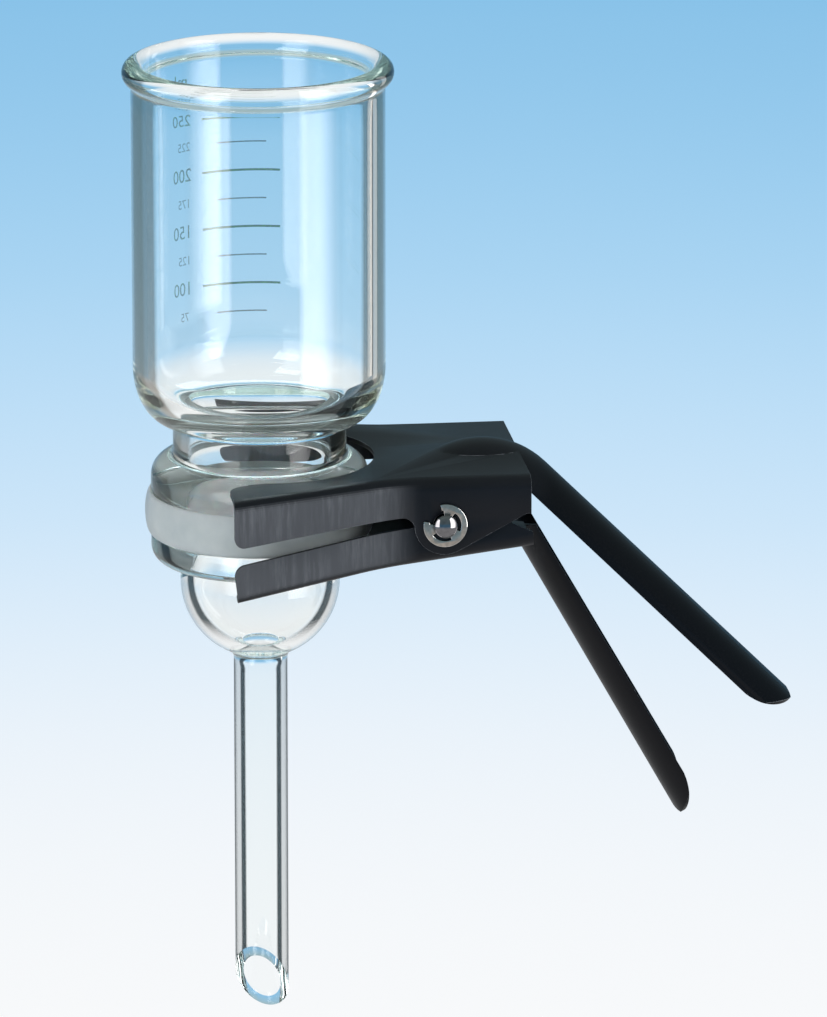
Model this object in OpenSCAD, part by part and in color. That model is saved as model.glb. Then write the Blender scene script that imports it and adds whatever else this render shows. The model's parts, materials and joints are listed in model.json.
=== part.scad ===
// Glass vacuum filtration unit: graduated funnel, seal ring, sintered disc and
// stemmed base, held together by a sprung sheet-metal clamp.
// Millimetres. Z is up along the glass axis, X runs along the clamp to its grips.
// The origin is on the glass axis, where the straight outlet stem begins.

/* [Funnel] */
// Outer diameter of the funnel tube
body_d = 70; // [62:0.5:90]
// Thickness of the tube wall
body_wall = 4; // [2:0.25:6]
// Height of the straight tube, from the shoulder to the middle of the rim bead
body_h = 82.7; // [40:0.5:160]
// Outer diameter of the rim bead
rim_d = 75; // [70:0.5:96]
// Height of the rounded shoulder under the tube
shoulder_h = 15.4; // [10:0.2:25]
// Outer diameter of the neck
neck_d = 48.1; // [44:0.1:54]
// Bore of the neck, which sets the filtration area
neck_bore_d = 40; // [34:0.5:44]
// Height of the neck above its flange
neck_h = 10.4; // [6:0.2:20]
// Radius of the fillet between neck and shoulder
neck_fillet = 1.8; // [0.5:0.1:3]

/* [Flanges] */
// Diameter of both glass flanges
flange_d = 60.4; // [58:0.2:68]
// Height of the funnel flange's straight side
funnel_flange_h = 7; // [4:0.2:12]
// Radius of the funnel flange's rounded upper shoulder
funnel_flange_round = 5.7; // [4:0.1:6]
// Height of the base flange
base_flange_h = 8.2; // [6:0.2:12]
// Radius of the base flange's rounded lower edge
base_flange_round = 4.2; // [2:0.1:6]
// Small round on the ground faces' outer edges
ground_edge = 0.5; // [0.2:0.1:1]

/* [Seal ring and disc] */
// Height of the ring between the two flanges
ring_h = 9; // [6:0.2:14]
// Outer diameter of the ring at its bulge
ring_d = 63.8; // [62:0.2:72]
// Height of the ring's lip up the funnel flange
ring_lip_h = 2.9; // [1:0.1:4]
// Diameter of the sintered glass disc
disc_d = 47; // [42:0.5:50]
// Depth of the disc's face below the top of the ring, room for a membrane
disc_drop = 0.2; // [0.1:0.1:1]
// Gap between glass and ring
ring_gap = 0.15; // [0.05:0.05:0.4]

/* [Base] */
// Outer radius of the base bowl
bowl_r = 22.2; // [18:0.1:26]
// Thickness of the bowl's wall
bowl_wall = 3; // [2:0.1:4]
// Height of the flange's underside above the bowl's centre
bowl_rise = 6.1; // [3:0.1:12]
// Outer diameter of the stem
stem_d = 15; // [12:0.2:20]
// Bore of the stem
stem_bore_d = 10.4; // [6:0.2:11]
// Length of the stem, from the bowl to the middle of its slanted end
stem_l = 94; // [60:1:160]
// Angle between the slanted end and the stem's axis
stem_cut_angle = 34; // [30:1:60]
// Direction that the tip of the slanted end lies in, from X towards Y
stem_cut_turn = 69; // [-180:1:180]
// Radius of the fillet between bowl and stem
stem_fillet = 3; // [1:0.1:5]

/* [Clamp sheet] */
// Thickness of the sheet metal
sheet = 1.25; // [0.8:0.05:1.6]
// Outer radius of the bends along the sides
bend_r = 3.6; // [2.5:0.1:5]
// Radius in plan of the curve from the body to the flared fork
flare_bend_r = 50; // [30:1:80]
// Gap between the jaws and the glass when clamped
jaw_gap = 0.3; // [0.2:0.05:0.5]
// Gap between the sides of the two halves
side_gap = 0.3; // [0.2:0.05:0.5]
// Distance from the glass axis to the fork tips, along the clamp
tip_reach = 12; // [6:0.5:20]
// Distance from the glass axis to the end of the jaw plates
plate_reach = 72; // [68:0.5:84]
// Angle at which the mouth of each fork opens
mouth_angle = 7.5; // [0:0.5:12]
// Radius of the fork's inner corners at the tips
tip_corner_r = 6.5; // [2:0.5:8]
// Radius of the sides' lower corners at the tips
side_corner_r = 3; // [1:0.5:5]
// Distance of the fork's round cut-out from the glass axis, towards the pin
fork_shift = 2.5; // [0:0.1:4]

/* [Upper half] */
// Half-width of the upper half's body, to the outside of the sheet
upper_half_w = 31; // [28:0.1:36]
// Angle at which the upper fork flares
upper_flare = 21; // [10:0.5:28]
// Place along the clamp where the upper flare begins
upper_flare_x = 33.8; // [28:0.2:40]
// Radius of the upper fork's round cut-out
upper_fork_r = 29.3; // [28:0.05:29.8]
// Height of the side at the fork tip
upper_side_tip_h = 13.3; // [10:0.1:16]
// Height of the side beside the ear
upper_side_h = 10.6; // [8:0.1:13]
// Height of the side at the grip end
upper_side_end_h = 10.5; // [8:0.1:14]
// Radius of the upper ears around the pin
upper_ear_r = 8.4; // [6:0.1:10]
// Radius of the fillet between the side's edge and the ear
upper_ear_fillet = 3.6; // [1:0.1:5]
// Angle of the ear's edge towards the grip end
upper_ear_rise = 28; // [15:1:40]

/* [Lower half] */
// Angle between the lower plate and the upper plate when clamped
lower_tilt = 7.1; // [4:0.1:9]
// Angle at which the lower fork flares
lower_flare = 16; // [10:0.5:24]
// Place along the clamp where the lower flare begins
lower_flare_x = 30.3; // [26:0.2:38]
// Radius of the lower fork's round cut-out
lower_fork_r = 29.1; // [28:0.05:29.6]
// Height of the lower side
lower_side_h = 10.9; // [8:0.1:12]
// Height of the lower side at the grip end
lower_side_end_h = 4.6; // [4:0.1:8]
// Radius of the lower ears around the pin
lower_ear_r = 7.4; // [6:0.1:8]
// Angle of the lower ear's edge towards the grip end
lower_ear_rise = 45; // [30:1:60]

/* [Grips] */
// Outer radius of the half-round grips
grip_r = 11.5; // [9:0.1:14]
// Angle of the upper grip below the level
upper_grip_angle = 44.7; // [35:0.1:50]
// Length of the upper grip
upper_grip_l = 99.3; // [70:0.1:130]
// Depth of the upper grip at its root
upper_grip_root_depth = 8; // [6:0.1:8.5]
// Depth of the upper grip at its end
upper_grip_end_depth = 8.3; // [7:0.1:9.5]
// Angle of the lower grip below the level
lower_grip_angle = 60.7; // [58:0.1:75]
// Length of the lower grip
lower_grip_l = 98; // [70:0.5:120]
// Depth of the lower grip at its root
lower_grip_root_depth = 6.8; // [5.5:0.1:8]
// Depth of the lower grip at its end
lower_grip_end_depth = 7.5; // [5.5:0.1:8.5]
// Radius of the crown where it comes down to the tip of either grip
grip_tip_r = 3; // [2:0.1:6]
// Length over which the edge of either grip rises to its tip
grip_rise_l = 15; // [8:0.5:20]
// Depth of either grip at its tip
grip_tip_depth = 1.5; // [1.2:0.1:5]
// Radius of the crown where the upper grip turns down
upper_elbow_r = 26; // [20:0.5:32]
// Radius of the crown where the lower grip turns down
lower_elbow_r = 3; // [2:0.5:6]
// Height of the ridge on the upper plate, where its grip begins
ridge_h = 3; // [1.5:0.1:4]
// How far past the end of its plate the upper grip has come down to the plate's top
upper_grip_lead = 3.5; // [1:0.1:5]
// How far before the end of its plate the lower grip turns away
lower_grip_lead = 4.1; // [1:0.1:5]

/* [Pin, clips and spring] */
// Distance from the glass axis to the pin
pin_x = 48; // [46:0.5:54]
// Depth of the pin's axis below the top of the upper plate
pin_drop = 13.05; // [12.5:0.05:15]
// Diameter of the pin
pin_d = 6.5; // [4:0.1:8]
// Radial running clearance of the pin in the ears
pin_clearance = 0.06; // [0.03:0.01:0.1]
// Length of the domed end of the pin
pin_dome = 1.1; // [0.5:0.1:1.6]
// Length of the pin between each clip and the dome
pin_end_l = 0.9; // [0.5:0.1:2]
// Diameter of the grooves in the pin
groove_d = 4.9; // [3:0.1:6]
// Thickness of the clips
clip_t = 0.7; // [0.4:0.05:1.2]
// Play of the clips, across their grooves and round the bottom of them
clip_play = 0.1; // [0.06:0.02:0.2]
// Outer diameter of the clips
clip_d = 12.2; // [10:0.1:15]
// Width of the clips' ring
clip_ring_w = 1.7; // [1.2:0.1:2.2]
// Angle that the clips' opening takes, to either side of its middle
clip_mouth_angle = 32; // [20:1:40]
// Angle that each inner lobe of the clips takes, to either side of its middle
clip_lobe_angle = 22; // [12:1:26]
// Direction of the clips' opening, from X towards Z
clip_turn = 135; // [0:5:355]
// Diameter of the spring wire
wire_d = 2; // [1.2:0.1:2.4]
// Gap between the pin and the inside of the coil
coil_gap = 0.7; // [0.4:0.1:1.2]
// Number of turns in the coil
coil_turns = 9; // [5:1:12]
// Pitch of the coil, from wire to wire
coil_pitch = 2.3; // [2.1:0.1:2.8]
// Length of the spring's legs
leg_l = 19; // [14:0.5:21]

/* [Hidden] */
$fn = 96;
FAR = 400;      // reach of the blocks that cut a shape
ARC_STEPS = 10; // steps in each drawn arc of a revolved outline
FUSE = 1;       // how far a shape runs into or past the one that it joins or cuts
FLARE_STEPS = 6; // steps in the curve from the body to the flared fork
ARC_OVER = 1.002; // how much wide a rounded corner's arc runs, to cross its edges

// Glass stack, from the stem upwards
stem_r = stem_d / 2;
stem_bore_r = stem_bore_d / 2;
bowl_z = sqrt(pow(bowl_r + stem_fillet, 2) - pow(stem_r + stem_fillet, 2));
bowl_bore_r = bowl_r - bowl_wall;
flange_r = flange_d / 2;
base_flange_z = bowl_z + bowl_rise;
ring_z = base_flange_z + base_flange_h;
funnel_z = ring_z + ring_h;
ring_r = ring_d / 2;
disc_r = disc_d / 2;
round_z = funnel_z + funnel_flange_h;
neck_z = round_z + funnel_flange_round;
neck_r = neck_d / 2;
neck_bore_r = neck_bore_d / 2;
shoulder_z = neck_z + neck_h;
body_z = shoulder_z + shoulder_h;
body_r = body_d / 2;
body_bore_r = body_r - body_wall;
rim_z = body_z + body_h;
rim_bead_r = (rim_d / 2 - body_bore_r) / 2;

// How far along the glass axis a fork's inner face keeps from the centre of the
// flange's round, where its edge first comes to rest on that round
function fork_stand(r, tilt, round) =
    max([for (a = [0:90 + mouth_angle])
        let (x = fork_shift + r * cos(a), over = norm([x, r * sin(a)]) - flange_r + round)
            if (over < round + jaw_gap)
                sqrt(pow(round + jaw_gap, 2) - pow(max(over, 0), 2)) + x * tan(tilt)]);

// Clamp, from the plates to the pin
upper_top_z = round_z + fork_stand(upper_fork_r, 0, funnel_flange_round) + sheet;
pin_z = upper_top_z - pin_drop;
lower_plane_z = base_flange_z + base_flange_round
    - fork_stand(lower_fork_r, lower_tilt, base_flange_round) - sheet / cos(lower_tilt);
lower_drop = (pin_z - lower_plane_z - pin_x * tan(lower_tilt)) * cos(lower_tilt);
lower_half_w = upper_half_w - sheet - side_gap;
pin_r = pin_d / 2;
eye_r = pin_r + pin_clearance;
clip_y = upper_half_w + side_gap / 2;
coil_r = pin_r + coil_gap + wire_d / 2;
grip_sink = sheet / 4; // how far the lower grip starts below its plate's outer face

// Points along an arc of an ellipse, for the outlines that are revolved
function arc(c, rx, ry, from, to) =
    [for (i = [0:ARC_STEPS]) let (a = from + (to - from) * i / ARC_STEPS)
        [c[0] + rx * cos(a), c[1] + ry * sin(a)]];

// What rounding a corner takes away. The corner is at p, its edges leave at the
// angles a and b, and the cut runs a little past them.
module corner_cut(p, a, b, r) {
    half = (b - a) / 2;
    centre = p + r / sin(half) * [cos(a + half), sin(a + half)];
    difference() {
        polygon([centre, centre + (r + FUSE) * [cos(a - 90), sin(a - 90)],
                 p - 2 * FUSE * [cos(a + half), sin(a + half)],
                 centre + (r + FUSE) * [cos(b + 90), sin(b + 90)]]);
        translate(centre) circle(r * ARC_OVER);
    }
}

// ---- Glass ----

module funnel_outline() {
    polygon(concat(
        [[neck_bore_r, funnel_z]],
        arc([flange_r - ground_edge, funnel_z + ground_edge], ground_edge, ground_edge, -90, 0),
        arc([flange_r - funnel_flange_round, round_z],
            funnel_flange_round, funnel_flange_round, 0, 90),
        [[neck_r, neck_z]],
        arc([neck_r + neck_fillet, shoulder_z - neck_fillet], neck_fillet, neck_fillet, 180, 90),
        arc([neck_r + neck_fillet, body_z], body_r - neck_r - neck_fillet, shoulder_h, -90, 0),
        [[body_r, rim_z - rim_bead_r]],
        arc([body_bore_r + rim_bead_r, rim_z], rim_bead_r, rim_bead_r, -60, 180),
        arc([neck_bore_r, body_z], body_bore_r - neck_bore_r, shoulder_h - body_wall, 0, -90)
    ));
}

module funnel() {
    color([0.82, 0.9, 0.92, 0.35]) rotate_extrude() funnel_outline();
}

module seal_ring() {
    lip_bore_r = flange_r + ring_gap;
    bulge = ring_r - lip_bore_r;
    half_h = (ring_h + ring_lip_h) / 2;
    color([0.9, 0.93, 0.94]) rotate_extrude() difference() {
        union() {
            translate([disc_r + ring_gap, ring_z]) square([flange_r - disc_r, ring_h]);
            translate([lip_bore_r - bulge, ring_z]) square([bulge, 2 * half_h]);
            polygon(arc([lip_bore_r, ring_z + half_h], bulge, half_h, -90, 90));
        }
        translate([0, funnel_z]) square([lip_bore_r, FAR]);
    }
}

module sintered_disc() {
    color([0.95, 0.95, 0.93]) translate([0, 0, ring_z])
        cylinder(r = disc_r, h = ring_h - disc_drop);
}

module base_outline() {
    bowl_top = asin(bowl_rise / bowl_r);
    bowl_end = -acos((stem_r + stem_fillet) / (bowl_r + stem_fillet));
    bore_end = -acos(stem_bore_r / bowl_bore_r);
    polygon(concat(
        arc([0, bowl_z], bowl_bore_r, bowl_bore_r, 0, bore_end),
        [[stem_bore_r, -stem_l - FAR / 4], [stem_r, -stem_l - FAR / 4]],
        arc([stem_r + stem_fillet, 0], stem_fillet, stem_fillet, 180, 180 + bowl_end),
        arc([0, bowl_z], bowl_r, bowl_r, bowl_end, bowl_top),
        arc([flange_r - base_flange_round, base_flange_z + base_flange_round],
            base_flange_round, base_flange_round, -90, 0),
        arc([flange_r - ground_edge, ring_z - ground_edge], ground_edge, ground_edge, 0, 90),
        [[bowl_bore_r, ring_z]]
    ));
}

module base() {
    color([0.82, 0.9, 0.92, 0.35]) difference() {
        rotate_extrude() base_outline();
        translate([0, 0, -stem_l]) rotate([0, 0, stem_cut_turn])
            rotate([0, 90 - stem_cut_angle, 0])
                translate([-FAR / 2, -FAR / 2, -FAR]) cube(FAR);
    }
}

// ---- Clamp halves ----
// Each half is drawn around its pin, with its outer face upwards: X to the grip,
// the outer face of the plate at height drop, its sides hanging down.

// Stations along a half from past its end to past its tips: place, half-width, and
// how much the slant of the side stretches a cut across the clamp
function stations(half_w, flare, flare_x) = let (
        bend_x = flare_x - pin_x + flare_bend_r * tan(flare / 2),
        arc_x = bend_x - flare_bend_r * sin(flare),
        arc_w = half_w + flare_bend_r * (1 - cos(flare)),
        tip_x = -tip_reach - pin_x - FUSE)
    concat(
        [[plate_reach - pin_x + FUSE, half_w, 1]],
        [for (i = [0:FLARE_STEPS]) let (a = flare * i / FLARE_STEPS)
            [bend_x - flare_bend_r * sin(a), half_w + flare_bend_r * (1 - cos(a)), 1 / cos(a)]],
        [[tip_x, arc_w + (arc_x - tip_x) * tan(flare), 1 / cos(flare)]]);

// Quarter bend from the plate to the side, or back, at one station
function bend(half_w, stretch, r, from, to) =
    [for (i = [0:ARC_STEPS]) let (a = from + (to - from) * i / ARC_STEPS)
        [half_w - stretch * (bend_r - r * cos(a)), r * sin(a) - bend_r]];

// Section of the bent sheet across the clamp: plate on top, a side hanging down
// on either hand, drawn with the outer face of the plate at height 0
function sheet_section(half_w, stretch, depth) = let (
        right = concat(
            [[half_w - stretch * sheet, -depth], [half_w, -depth]],
            bend(half_w, stretch, bend_r, 0, 90)),
        inner = bend(half_w, stretch, bend_r - sheet, 90, 0),
        n = len(right) - 1)
    concat(right,
        [for (i = [n:-1:0]) [-right[i][0], right[i][1]]],
        [for (i = [ARC_STEPS:-1:0]) [-inner[i][0], inner[i][1]]],
        inner);

// Bent sheet before its edges are trimmed, lofted through its stations
module bent_sheet(half_w, flare, flare_x, drop, depth) {
    at = stations(half_w, flare, flare_x);
    rings = [for (s = at) [for (p = sheet_section(s[1], s[2], depth)) [s[0], p[0], drop + p[1]]]];
    n = len(at);
    m = len(rings[0]);
    walls = [for (i = [0:n - 2], k = [0:m - 1])
        let (a = i * m + k, b = i * m + (k + 1) % m) each [[a, b, b + m], [a, b + m, a + m]]];
    polyhedron([for (ring = rings) each ring],
        concat(walls, [[for (k = [m - 1:-1:0]) k], [for (k = [0:m - 1]) (n - 1) * m + k]]),
        convexity = 6);
}

// Cut-out of the fork: round at the back, opening towards the tips
module fork_plan(r, centre_x) {
    tip_x = -tip_reach - pin_x;
    mouth_half = r / cos(mouth_angle) + (centre_x - tip_x) * tan(mouth_angle);
    over_half = mouth_half + 2 * FUSE * tan(mouth_angle);
    over_x = tip_x - 2 * FUSE;
    touch = r * [-sin(mouth_angle), cos(mouth_angle)];
    translate([centre_x, 0]) circle(r);
    polygon([[centre_x, 0], [centre_x + touch[0], touch[1]], [over_x, over_half],
             [over_x, -over_half], [centre_x + touch[0], -touch[1]]]);
    for (side = [0, 1]) mirror([0, side])
        corner_cut([tip_x, mouth_half], -mouth_angle, 90, tip_corner_r);
}

// A half of the clamp: the bent sheet, its fork cut out and its sides trimmed to
// a side view drawn in X and Z
module clamp_half(half_w, flare, flare_x, drop, depth, fork_r, fork_x) {
    difference() {
        intersection() {
            bent_sheet(half_w, flare, flare_x, drop, depth);
            rotate([90, 0, 0]) linear_extrude(FAR / 2, center = true) children();
        }
        translate([0, 0, drop - sheet - FUSE])
            linear_extrude(sheet + 2 * FUSE) fork_plan(fork_r, fork_x);
        rotate([90, 0, 0]) cylinder(r = eye_r, h = FAR / 2, center = true);
    }
}

// ---- Grips ----

// Section of a grip, crown at x = 0: the cap, or the hollow beneath its sheet
module grip_section(depth, hollow) {
    intersection() {
        translate([-grip_r, 0]) circle(hollow ? grip_r - sheet : grip_r);
        translate([-depth, -grip_r]) square([depth, 2 * grip_r]);
    }
}

// Straight grip along +X from the origin, crown at z = 0, closed by a rounded tip.
// The hollow keeps one thickness of sheet inside it.
module grip_run(l, depth, hollow) {
    half_w = sqrt(pow(grip_r, 2) - pow(grip_r - depth, 2));
    inset = hollow ? sheet : 0;
    difference() {
        intersection() {
            rotate([0, 90, 0]) mirror([1, 0, 0])
                linear_extrude(l - inset) grip_section(depth + FUSE, hollow);
            translate([0, 0, -FAR / 4]) linear_extrude(FAR / 2) {
                translate([-FUSE, -FAR / 4]) square([l - half_w + FUSE, FAR / 2]);
                translate([l - half_w, 0]) circle((half_w - inset) * ARC_OVER);
            }
        }
        rotate([90, 0, 0]) linear_extrude(FAR / 2, center = true)
            corner_cut([l - inset, -inset], 180, 270, grip_tip_r - inset);
    }
}

// The outside of that grip: its edge falls away from the crown to its full depth,
// then rises in a curve to the tip
module grip_shell_run(l, root_depth, depth) {
    fall = atan((depth - root_depth) / l);
    rise = depth - grip_tip_depth;
    rise_r = (pow(grip_rise_l, 2) + pow(rise, 2)) / (2 * rise);
    difference() {
        intersection() {
            grip_run(l, depth, false);
            translate([0, 0, -root_depth]) rotate([0, fall, 0])
                translate([-FAR / 2, -FAR / 2, 0]) cube(FAR);
        }
        rotate([90, 0, 0]) linear_extrude(FAR / 2, center = true)
            translate([l - grip_rise_l, -depth]) difference() {
                translate([0, -2 * FUSE]) square([grip_rise_l + FUSE, rise + 3 * FUSE]);
                translate([0, rise_r]) circle(rise_r * ARC_OVER);
            }
    }
}

// ---- Upper half ----

// Side view of the upper half, around the pin
module upper_side_view() {
    tip = [-tip_reach - pin_x, pin_drop - upper_side_tip_h];
    edge_z = pin_drop - upper_side_h;
    fillet_z = edge_z - upper_ear_fillet;
    fillet_x = -sqrt(pow(upper_ear_r + upper_ear_fillet, 2) - pow(fillet_z, 2));
    slope = atan((edge_z - tip[1]) / (fillet_x - tip[0]));
    end_z = pin_drop - upper_side_end_h;
    end_x = plate_reach - pin_x;
    top_z = pin_drop + FUSE;
    foot = upper_ear_r * [sin(upper_ear_rise), -cos(upper_ear_rise)];
    rise_x = foot[0] + (end_z - foot[1]) / tan(upper_ear_rise);
    difference() {
        union() {
            polygon([tip, [fillet_x, edge_z], [0, edge_z], [0, top_z], [tip[0], top_z]]);
            polygon([[-FUSE, 0], foot, [rise_x, end_z], [max(end_x, rise_x), end_z],
                     [max(end_x, rise_x), top_z], [-FUSE, top_z]]);
            circle(upper_ear_r);
            difference() {
                polygon([[fillet_x, edge_z + FUSE], [0, edge_z + FUSE], [0, 0],
                         [fillet_x, fillet_z]]);
                translate([fillet_x, fillet_z]) circle(upper_ear_fillet);
            }
        }
        corner_cut(tip, slope, 90, side_corner_r);
    }
}

// The crown of the upper grip climbs out of the plate as a ridge, turns over the
// elbow and runs down the grip
module upper_grip(hollow) {
    crown = upper_elbow_r;
    lead = acos((crown - ridge_h - sheet - FUSE) / crown);
    back = (crown * (1 - cos(upper_grip_angle)) + ridge_h * cos(upper_grip_angle))
        / sin(upper_grip_angle);
    translate([plate_reach + upper_grip_lead - pin_x - back, 0, pin_drop + ridge_h - crown])
        rotate([0, upper_grip_angle, 0]) {
            rotate([90, 0, 0]) rotate([0, 0, 90])
                rotate_extrude(angle = upper_grip_angle + lead) translate([crown, 0])
                    grip_section(hollow ? upper_grip_end_depth + FUSE : upper_grip_root_depth,
                                 hollow);
            translate([0, 0, crown])
                if (hollow) grip_run(upper_grip_l, upper_grip_end_depth, true);
                else grip_shell_run(upper_grip_l, upper_grip_root_depth, upper_grip_end_depth);
        }
}

module upper_jaw() {
    color([0.13, 0.15, 0.19]) translate([pin_x, 0, pin_z]) difference() {
        union() {
            clamp_half(upper_half_w, upper_flare, upper_flare_x, pin_drop,
                       pin_drop + upper_ear_r + FUSE, upper_fork_r,
                       fork_shift - pin_x) upper_side_view();
            difference() {
                upper_grip(false);
                translate([plate_reach - pin_x - FUSE - FAR / 2, -FAR / 4,
                           pin_drop - sheet / 2 - FAR / 2]) cube(FAR / 2);
            }
        }
        upper_grip(true);
    }
}

// ---- Lower half ----
// Drawn with its outer face upwards, then turned over about the pin.

module lower_side_view() {
    tip = [-tip_reach - pin_x, lower_drop - lower_side_h];
    end = [plate_reach - pin_x, lower_drop - lower_side_end_h];
    top_z = lower_drop + FUSE;
    foot = lower_ear_r * [sin(lower_ear_rise), -cos(lower_ear_rise)];
    difference() {
        union() {
            polygon([tip, [0, tip[1]], [0, top_z], [tip[0], top_z]]);
            polygon([[-FUSE, 0], foot, end,
                     [end[0], top_z], [-FUSE, top_z]]);
            circle(lower_ear_r);
        }
        corner_cut(tip, 0, 90, side_corner_r);
    }
}

// The lower grip bends towards its outer face near the end of its plate
module lower_grip(hollow) {
    turn = lower_grip_angle + lower_tilt;
    crown = lower_elbow_r;
    translate([plate_reach - lower_grip_lead - pin_x - crown * tan(turn / 2), 0,
               lower_drop + crown - grip_sink])
        rotate([0, -turn, 0]) {
            rotate([-90, 0, 0]) rotate([0, 0, 90])
                rotate_extrude(angle = turn) translate([crown, 0]) mirror([1, 0])
                    grip_section(hollow ? lower_grip_end_depth + FUSE : lower_grip_root_depth,
                                 hollow);
            translate([0, 0, -crown])
                if (hollow) grip_run(lower_grip_l, lower_grip_end_depth, true);
                else grip_shell_run(lower_grip_l, lower_grip_root_depth, lower_grip_end_depth);
        }
}

module lower_jaw() {
    fork_x = (fork_shift - pin_x - lower_drop * sin(lower_tilt)) / cos(lower_tilt);
    color([0.13, 0.15, 0.19]) translate([pin_x, 0, pin_z])
        rotate([0, -lower_tilt, 0]) mirror([0, 0, 1]) difference() {
            union() {
                clamp_half(lower_half_w, lower_flare, lower_flare_x, lower_drop,
                           lower_drop + lower_ear_r + FUSE, lower_fork_r,
                           fork_x) lower_side_view();
                difference() {
                    lower_grip(false);
                    translate([-FAR / 4, -FAR / 4, lower_drop - sheet / 2 - FAR / 2])
                        cube(FAR / 2);
                }
            }
            lower_grip(true);
        }
}

// ---- Pin, clips and spring ----

pin_half_l = clip_y + clip_t + pin_end_l;

module pivot_pin() {
    dome_r = (pow(pin_r, 2) + pow(pin_dome, 2)) / (2 * pin_dome);
    groove_w = clip_t + clip_play;
    color([0.75, 0.76, 0.78]) translate([pin_x, 0, pin_z]) rotate([90, 0, 0]) difference() {
        union() {
            cylinder(r = pin_r, h = 2 * pin_half_l, center = true);
            for (side = [0, 1]) mirror([0, 0, side]) intersection() {
                translate([0, 0, pin_half_l + pin_dome - dome_r]) sphere(dome_r);
                translate([0, 0, pin_half_l]) cylinder(r = pin_r, h = pin_dome + 1);
            }
        }
        for (side = [0, 1]) mirror([0, 0, side])
            translate([0, 0, clip_y - (groove_w - clip_t) / 2]) difference() {
                cylinder(r = pin_r + 1, h = groove_w);
                translate([0, 0, -1]) cylinder(r = groove_d / 2, h = groove_w + 2);
            }
    }
}

// Retaining clip in its own plane: an open ring with three inner lobes
module clip_plan() {
    mouth = FAR * [cos(clip_mouth_angle), sin(clip_mouth_angle)];
    lobe = FAR * [cos(clip_lobe_angle), sin(clip_lobe_angle)];
    difference() {
        circle(clip_d / 2);
        circle(clip_d / 2 - clip_ring_w);
        polygon([[0, 0], mouth, [FAR, 0], [mouth[0], -mouth[1]]]);
    }
    for (turn = [60, 180, 300]) rotate(turn) difference() {
        intersection() {
            circle((clip_d - clip_ring_w) / 2);
            polygon([[0, 0], lobe, [lobe[0], -lobe[1]]]);
        }
        circle((groove_d + clip_play) / 2);
    }
}

module clip_at(side) {
    color([0.8, 0.81, 0.83]) translate([pin_x, 0, pin_z]) rotate([90, 0, 0])
        translate([0, 0, side > 0 ? clip_y : -clip_y - clip_t])
            linear_extrude(clip_t) rotate(clip_turn) clip_plan();
}

module front_clip() { clip_at(1); }
module rear_clip() { clip_at(-1); }

// Route of the spring wire: leg to the upper plate, the coil, leg to the lower one
WIRE_SIDES = 8;
STEPS_PER_TURN = 14;
upper_leg_angle = asin((pin_drop - sheet - wire_d / 2 - side_gap - coil_r) / leg_l);
lower_leg_angle = asin((lower_drop - sheet - wire_d / 2 - side_gap - coil_r) / leg_l)
    - lower_tilt;
coil_sweep = 360 * coil_turns + upper_leg_angle + lower_leg_angle + 180;
coil_steps = ceil(coil_sweep / 360 * STEPS_PER_TURN);

// Point on the coil, and the direction of the wire there, seen along the pin
function coil_point(a) = [coil_r * cos(a), coil_pitch * a / 360, coil_r * sin(a)];
coil_start = 90 + upper_leg_angle;
coil_points = [for (i = [0:coil_steps]) coil_point(coil_start + coil_sweep * i / coil_steps)];
coil_mid = coil_pitch * (coil_start + coil_sweep / 2) / 360;
coil_last = coil_start + coil_sweep;
wire_path = concat(
    [coil_points[0] + leg_l * [cos(upper_leg_angle), 0, sin(upper_leg_angle)]],
    coil_points,
    [coil_points[coil_steps] + leg_l * [-sin(coil_last), 0, cos(coil_last)]]);

// Sweeps a round section along a list of points
function unit(v) = v / norm(v);
function heading(path, i) =
    unit(path[min(i + 1, len(path) - 1)] - path[max(i - 1, 0)]);
module wire(path, r) {
    n = len(path);
    rings = [for (i = [0:n - 1])
        let (t = heading(path, i), side = unit(cross(t, [0, 1, 0])), up = cross(side, t))
        for (k = [0:WIRE_SIDES - 1]) let (a = 360 * k / WIRE_SIDES)
            path[i] + r * (cos(a) * side + sin(a) * up)];
    walls = [for (i = [0:n - 2], k = [0:WIRE_SIDES - 1])
        let (m = (k + 1) % WIRE_SIDES, a = i * WIRE_SIDES, b = a + WIRE_SIDES)
            [a + k, b + k, b + m, a + m]];
    polyhedron(rings, concat(walls,
        [[for (k = [0:WIRE_SIDES - 1]) k],
         [for (k = [WIRE_SIDES - 1:-1:0]) (n - 1) * WIRE_SIDES + k]]), convexity = 10);
}

module torsion_spring() {
    color([0.6, 0.62, 0.65]) translate([pin_x, -coil_mid, pin_z]) wire(wire_path, wire_d / 2);
}

funnel();
seal_ring();
sintered_disc();
base();
upper_jaw();
lower_jaw();
pivot_pin();
torsion_spring();
front_clip();
rear_clip();
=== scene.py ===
import functools
import json
import math

import bmesh
import bpy
from mathutils import Matrix, Vector

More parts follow.
